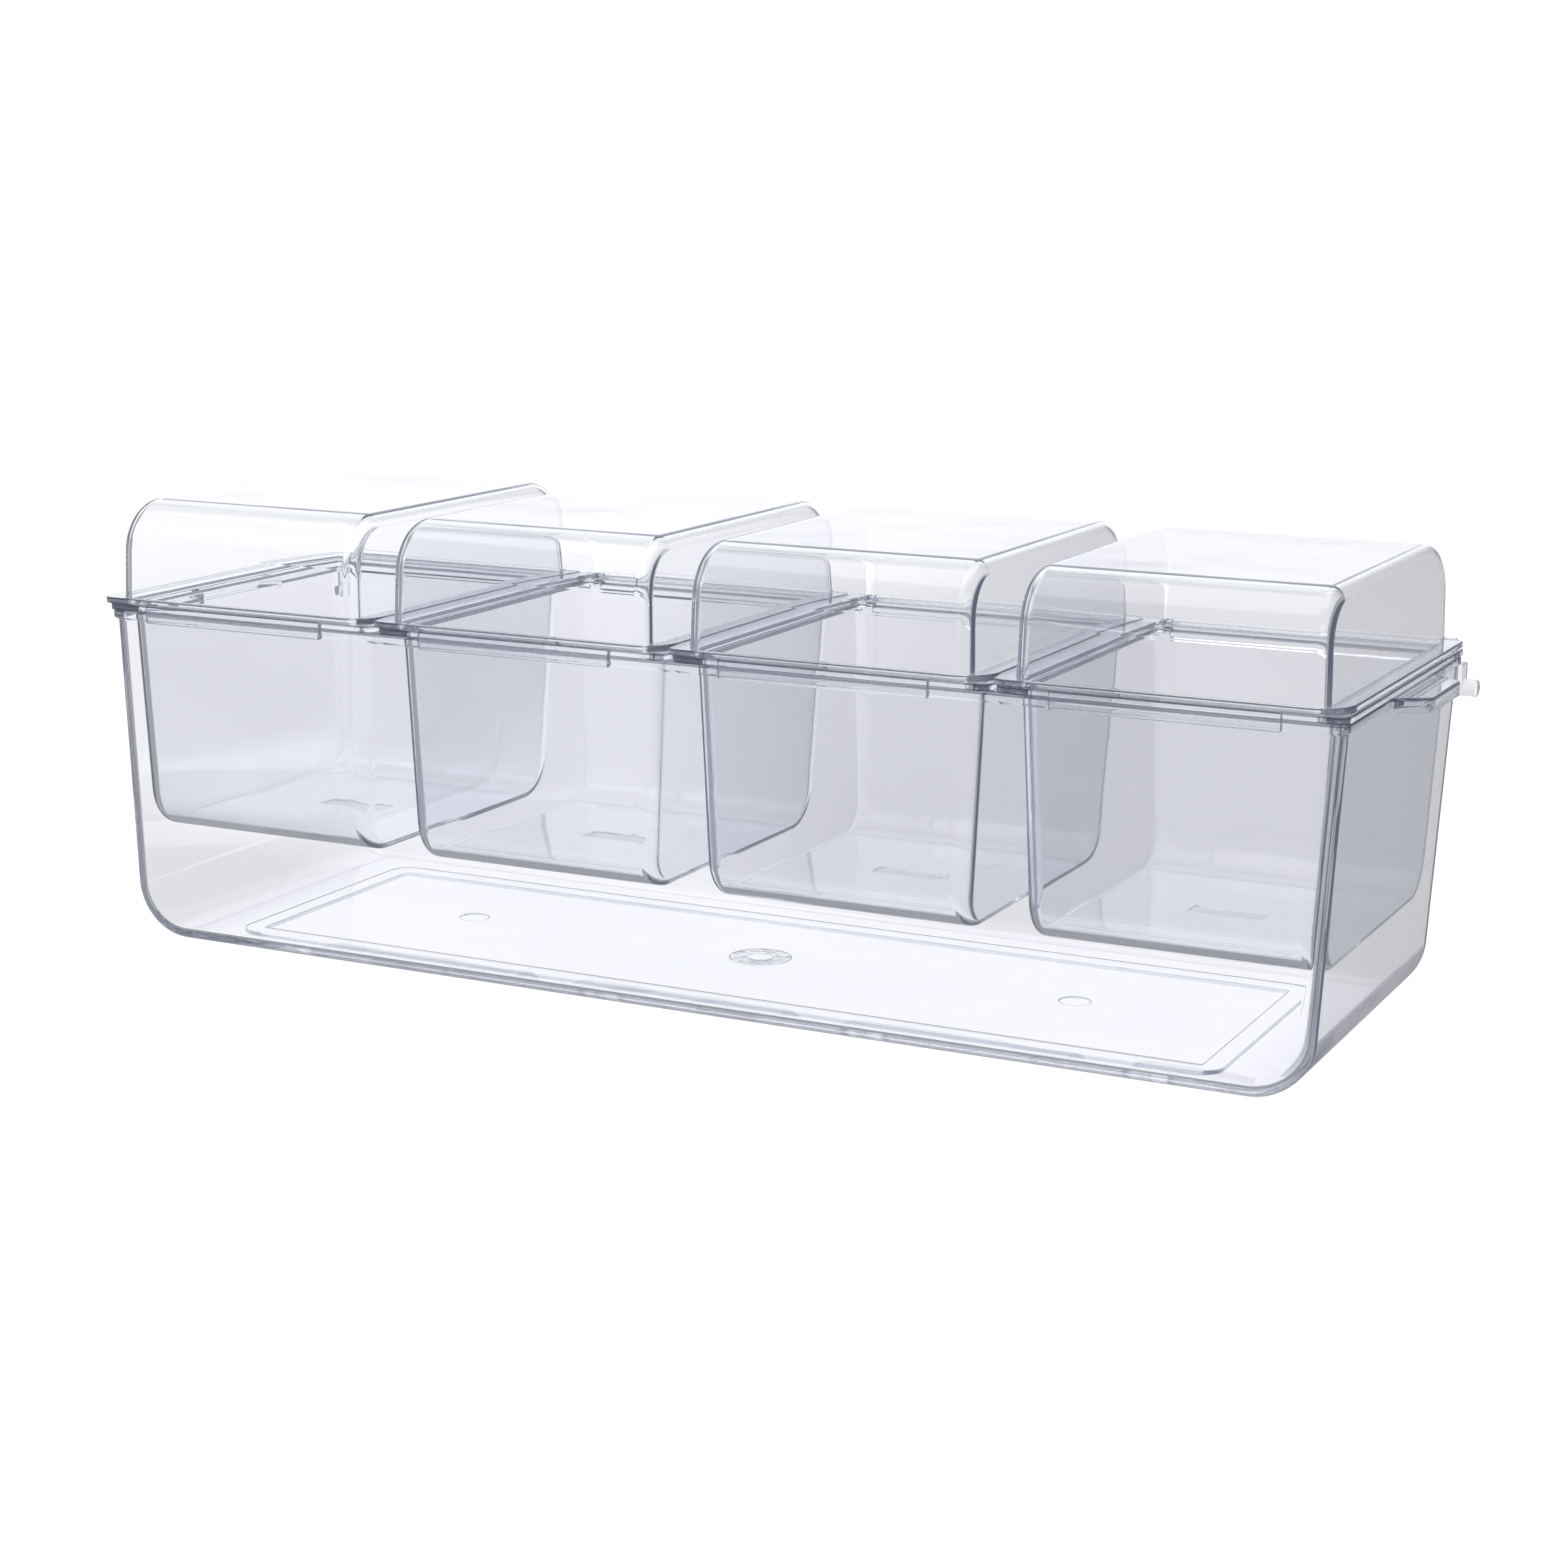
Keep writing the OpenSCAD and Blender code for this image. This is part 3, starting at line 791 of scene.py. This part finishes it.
def modelTray(look):
    wide, deep = look["mouth"][:2]
    endWide, endDeep, endZ = look["floor"]
    middle, wall, thick = look["middle"], look["wall"], 2 * look["wall"]
    piece = roundTub("trayMaster", look["mouth"], look["floor"], middle, look["radii"], "y")
    combine(piece, modelRim(look), "UNION")
    combine(piece, modelFoot(look), "UNION")
    for side in (-1, 1):
        combine(piece, modelGrip(look, side), "UNION")
        combine(piece, modelLug(look, side), "UNION")
    cavity = roundTub("trayCavity", (wide - thick, deep - thick, look["rimTop"] + over),
                      (endWide - thick, endDeep - thick, endZ + look["base"]), middle,
                      [radius - wall for radius in look["radii"]], "y")
    combine(piece, cavity, "DIFFERENCE")
    cutNotches(piece, look)
    cutMarks(piece, look)
    return piece


# clear moulded plastic: each part has its own values for one shared pattern
finishes = {
    "trayPlastic": {"tint": (0.97, 0.972, 0.988), "deepTint": (0.955, 0.957, 0.978), "cloud": 9.0,
                    "rippleScale": 26.0, "rippleDepth": 0.00016, "hazeLow": 0.0, "hazeHigh": 0.035},
    "cupPlastic": {"tint": (0.97, 0.972, 0.988), "deepTint": (0.955, 0.957, 0.978), "cloud": 14.0,
                   "rippleScale": 34.0, "rippleDepth": 0.00013, "hazeLow": 0.0, "hazeHigh": 0.03},
    "lidPlastic": {"tint": (0.97, 0.974, 0.99), "deepTint": (0.957, 0.961, 0.982), "cloud": 16.0,
                   "rippleScale": 30.0, "rippleDepth": 0.00013, "hazeLow": 0.0, "hazeHigh": 0.025},
}
# painted shade: dark blue-grey tints for the rounded outer edges of rims and flanges
paintedEdgeShade = {"tint": (0.2, 0.21, 0.26), "deepTint": (0.15, 0.16, 0.2)}
panelHaze = {"hazeLow": 0.16, "hazeHigh": 0.24}
gateFinish = {"tint": (0.95, 0.95, 0.97), "deepTint": (0.5, 0.5, 0.54), "cloud": 380.0,
              "rippleScale": 500.0, "hazeLow": 0.1, "hazeHigh": 0.4}
# painted light: the plastic glows grey for rays bounced past deepAfter times
plasticBody = {"refraction": 1.49, "shadowOpen": 0.93, "deepAfter": 32,
               "paintedTrappedGlow": (0.1, 0.115, 0.16, 1)}
mouldNoise = {
    "cloudDetail": 2.0,
    "cloudFrom": 0.35,
    "cloudTo": 0.65,
    "rippleDetail": 1.5,
    "rippleRough": 0.4,
    "hazeScale": 60.0,
    "hazeDetail": 3.0,
    "hazeFrom": 0.45,
    "hazeTo": 0.75,
}


def buildMouldPattern(look):
    # flow ripple, cloudy tint and faint haze of moulded plastic
    group = bpy.data.node_groups.new("mouldPattern", "ShaderNodeTree")
    for name, kind in (("Tint", "NodeSocketColor"), ("Deep Tint", "NodeSocketColor"),
                       ("Cloud", "NodeSocketFloat"), ("Ripple Scale", "NodeSocketFloat"),
                       ("Haze Low", "NodeSocketFloat"), ("Haze High", "NodeSocketFloat")):
        group.interface.new_socket(name=name, in_out="INPUT", socket_type=kind)
    for name, kind in (("Color", "NodeSocketColor"), ("Roughness", "NodeSocketFloat"),
                       ("Height", "NodeSocketFloat")):
        group.interface.new_socket(name=name, in_out="OUTPUT", socket_type=kind)
    asked = makeNode(group, "NodeGroupInput", (-800, 0))
    given = makeNode(group, "NodeGroupOutput", (700, 0))
    spot = makeNode(group, "ShaderNodeTexCoord", (-800, -300))
    cloud = makeNode(group, "ShaderNodeTexNoise", (-500, 200))
    cloud.inputs["Detail"].default_value = look["cloudDetail"]
    cloudRange = makeNode(group, "ShaderNodeMapRange", (-250, 200), interpolation_type="SMOOTHSTEP")
    cloudRange.inputs["From Min"].default_value = look["cloudFrom"]
    cloudRange.inputs["From Max"].default_value = look["cloudTo"]
    tintMix = makeNode(group, "ShaderNodeMix", (100, 200), data_type="RGBA")
    ripple = makeNode(group, "ShaderNodeTexNoise", (-500, -100))
    ripple.inputs["Detail"].default_value = look["rippleDetail"]
    ripple.inputs["Roughness"].default_value = look["rippleRough"]
    haze = makeNode(group, "ShaderNodeTexNoise", (-500, -400))
    haze.inputs["Scale"].default_value = look["hazeScale"]
    haze.inputs["Detail"].default_value = look["hazeDetail"]
    hazeRange = makeNode(group, "ShaderNodeMapRange", (-250, -400))
    hazeRange.inputs["From Min"].default_value = look["hazeFrom"]
    hazeRange.inputs["From Max"].default_value = look["hazeTo"]
    link = group.links.new
    for texture in (cloud, ripple, haze):
        link(spot.outputs["Object"], texture.inputs["Vector"])
    link(asked.outputs["Cloud"], cloud.inputs["Scale"])
    link(asked.outputs["Ripple Scale"], ripple.inputs["Scale"])
    link(cloud.outputs[0], cloudRange.inputs["Value"])
    link(cloudRange.outputs[0], tintMix.inputs[0])
    link(asked.outputs["Tint"], tintMix.inputs[6])
    link(asked.outputs["Deep Tint"], tintMix.inputs[7])
    link(haze.outputs[0], hazeRange.inputs["Value"])
    link(asked.outputs["Haze Low"], hazeRange.inputs["To Min"])
    link(asked.outputs["Haze High"], hazeRange.inputs["To Max"])
    link(tintMix.outputs[2], given.inputs["Color"])
    link(hazeRange.outputs[0], given.inputs["Roughness"])
    link(ripple.outputs[0], given.inputs["Height"])
    return group


mouldPattern = buildMouldPattern(mouldNoise)


def mixClearPlastic(name, look):
    material = bpy.data.materials.new(name)
    material.use_nodes = True
    tree = material.node_tree
    tree.nodes.clear()
    out = makeNode(tree, "ShaderNodeOutputMaterial", (1100, 0))
    clear = makeNode(tree, "ShaderNodeBsdfPrincipled", (300, 0))
    through = makeNode(tree, "ShaderNodeBsdfTransparent", (450, 200))
    mix = makeNode(tree, "ShaderNodeMixShader", (700, 0))
    path = makeNode(tree, "ShaderNodeLightPath", (300, 500))
    pattern = makeNode(tree, "ShaderNodeGroup", (-300, 0), node_tree=mouldPattern)
    pattern.inputs["Tint"].default_value = (*look["tint"], 1)
    pattern.inputs["Deep Tint"].default_value = (*look["deepTint"], 1)
    pattern.inputs["Cloud"].default_value = look["cloud"]
    pattern.inputs["Ripple Scale"].default_value = look["rippleScale"]
    pattern.inputs["Haze Low"].default_value = look["hazeLow"]
    pattern.inputs["Haze High"].default_value = look["hazeHigh"]
    bump = makeNode(tree, "ShaderNodeBump", (50, -250))
    bump.inputs["Strength"].default_value = 1.0
    bump.inputs["Distance"].default_value = look["rippleDepth"]
    clear.inputs["IOR"].default_value = plasticBody["refraction"]
    clear.inputs["Transmission Weight"].default_value = 1.0
    share = mathNode(tree, (500, 400), "MULTIPLY", path.outputs["Is Shadow Ray"], plasticBody["shadowOpen"])
    link = tree.links.new
    link(pattern.outputs["Color"], clear.inputs["Base Color"])
    link(pattern.outputs["Roughness"], clear.inputs["Roughness"])
    link(pattern.outputs["Height"], bump.inputs["Height"])
    link(bump.outputs[0], clear.inputs["Normal"])
    link(share, mix.inputs[0])
    link(clear.outputs[0], mix.inputs[1])
    link(through.outputs[0], mix.inputs[2])
    # painted light: a ray still inside a wall after deepAfter bounces ends as a grey glow, not as black
    glow = makeNode(tree, "ShaderNodeEmission", (700, -200))
    glow.inputs["Color"].default_value = plasticBody["paintedTrappedGlow"]
    ending = makeNode(tree, "ShaderNodeMixShader", (900, 0))
    link(mathNode(tree, (700, 400), "GREATER_THAN", path.outputs["Ray Depth"], plasticBody["deepAfter"]),
         ending.inputs[0])
    link(mix.outputs[0], ending.inputs[1])
    link(glow.outputs[0], ending.inputs[2])
    link(ending.outputs[0], out.inputs[0])
    return material


for kind in ("tray", "cup", "lid"):
    # painted shade: a copy of each plastic with a dark tint for rounded edges, standing in for the dark look
    # they get as light runs a long way inside the wall behind them
    finishes[kind + "Edge"] = {**finishes[kind + "Plastic"], **paintedEdgeShade}
finishes["frostedPanel"] = {**finishes["cupPlastic"], **panelHaze}
finishes["dullGate"] = {**finishes["trayPlastic"], **gateFinish}
plastics = {name: mixClearPlastic(name, look) for name, look in finishes.items()}
print("caddy: clear plastics mixed")


def copyAlong(master, name, shift):
    # a copy with its own mesh, moved along the row
    clearSelection()
    piece = master.copy()
    piece.data = master.data.copy()
    piece.name = name
    piece.data.name = name
    bpy.context.collection.objects.link(piece)
    piece.select_set(True)
    bpy.context.view_layer.objects.active = piece
    piece.location.x = shift * mm
    bpy.ops.object.transform_apply(location=True, rotation=False, scale=False)
    return piece


def dressPiece(piece, node, material):
    piece.data.materials.clear()
    piece.data.materials.append(material)
    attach(piece, node)
    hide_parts(node)


def finishNumber(piece, name):
    # the place of a finish among the piece's materials, added if it isn't there yet
    number = piece.data.materials.find(name)
    if number < 0:
        piece.data.materials.append(plastics[name])
        number = len(piece.data.materials) - 1
    return number


# where the painted edge shade goes: the rounded strips of a rim or flange, near its outside, and neither flat
# nor upright
edgeShadeStrip = {"band": 0.75, "leastTilt": 0.12, "mostTilt": 0.97}


# paints shade: gives the rounded outer strips of a rim or flange the dark edge tint
def paintEdgeShade(piece, shadeName, low, high, shift):
    band = edgeShadeStrip["band"]
    number = finishNumber(piece, shadeName)
    for face in piece.data.polygons:
        x, y, z = (value / mm for value in face.center)
        outside = (x - shift < low[0] + band or x - shift > high[0] - band
                   or y < low[1] + band or y > high[1] - band)
        tilted = edgeShadeStrip["leastTilt"] < abs(face.normal.z) < edgeShadeStrip["mostTilt"]
        if low[2] <= z <= high[2] and outside and tilted:
            face.material_index = number


def dullGate(piece, look):
    # the round gate mark in the middle of the tray floor is dull, its nub is clear
    radius, middle, slack = look["gateRadius"], look["middle"], look["gateSlack"]
    number = finishNumber(piece, "dullGate")
    for face in piece.data.polygons:
        x, y, z = (value / mm for value in face.center)
        inMark = look["gateHeart"] < math.hypot(x, y - middle) < radius + slack
        small = face.area < math.pi * (radius * mm) ** 2
        if inMark and z < look["base"] + slack and small:
            face.material_index = number


def frostPanel(piece, look):
    # the blank panel under the cup floor is frosted
    number = finishNumber(piece, "frostedPanel")
    panelTop = (look["floor"][2] + look["panel"][2]) * mm
    for face in piece.data.polygons:
        if near(face.center.z, panelTop) and face.normal.z < downward:
            face.material_index = number


trayPiece = modelTray(tray)
trayPiece.name = "trayShell"
polish(trayPiece, polishing)
dressPiece(trayPiece, "tray", plastics["trayPlastic"])
dullGate(trayPiece, tray)
rimWide, rimDeep = tray["rimSize"]
paintEdgeShade(trayPiece, "trayEdge", (-rimWide / 2, tray["middle"] - rimDeep / 2, tray["rimLow"]),
            (rimWide / 2, tray["middle"] + rimDeep / 2, tray["rimTop"]), 0)
# painted edge shade on the grip plates too, which stand out past both ends of the rim
paintEdgeShade(trayPiece, "trayEdge", (-rimWide / 2 - over, -rimDeep, tray["slopeLow"] - tray["gripThick"]),
            (rimWide / 2 + over, rimDeep, tray["rimTop"]), 0)
print("caddy: tray modelled")

for kind, model, look in (("cup", modelCup, cup), ("lid", modelLid, lid)):
    master = model(look)
    polish(master, polishing)
    for number in range(1, tray["places"] + 1):
        shift = (number - (tray["places"] + 1) / 2) * tray["pitch"]
        piece = copyAlong(master, kind + "Shell" + str(number), shift)
        dressPiece(piece, kind + "_" + str(number), plastics[kind + "Plastic"])
        if kind == "cup":
            frostPanel(piece, look)
        # painted shade on the rounded outer edges of the flange
        paintEdgeShade(piece, kind + "Edge", look["flangeLow"], look["flangeHigh"], shift)
    bpy.data.objects.remove(master, do_unlink=True)
    print("caddy: four copies of the", kind, "in place")

# the solids that the shells stand for get the same plastics
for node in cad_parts.values():
    kind = node.name.split("_")[0]
    node.data.materials.clear()
    node.data.materials.append(plastics[kind + "Plastic"])
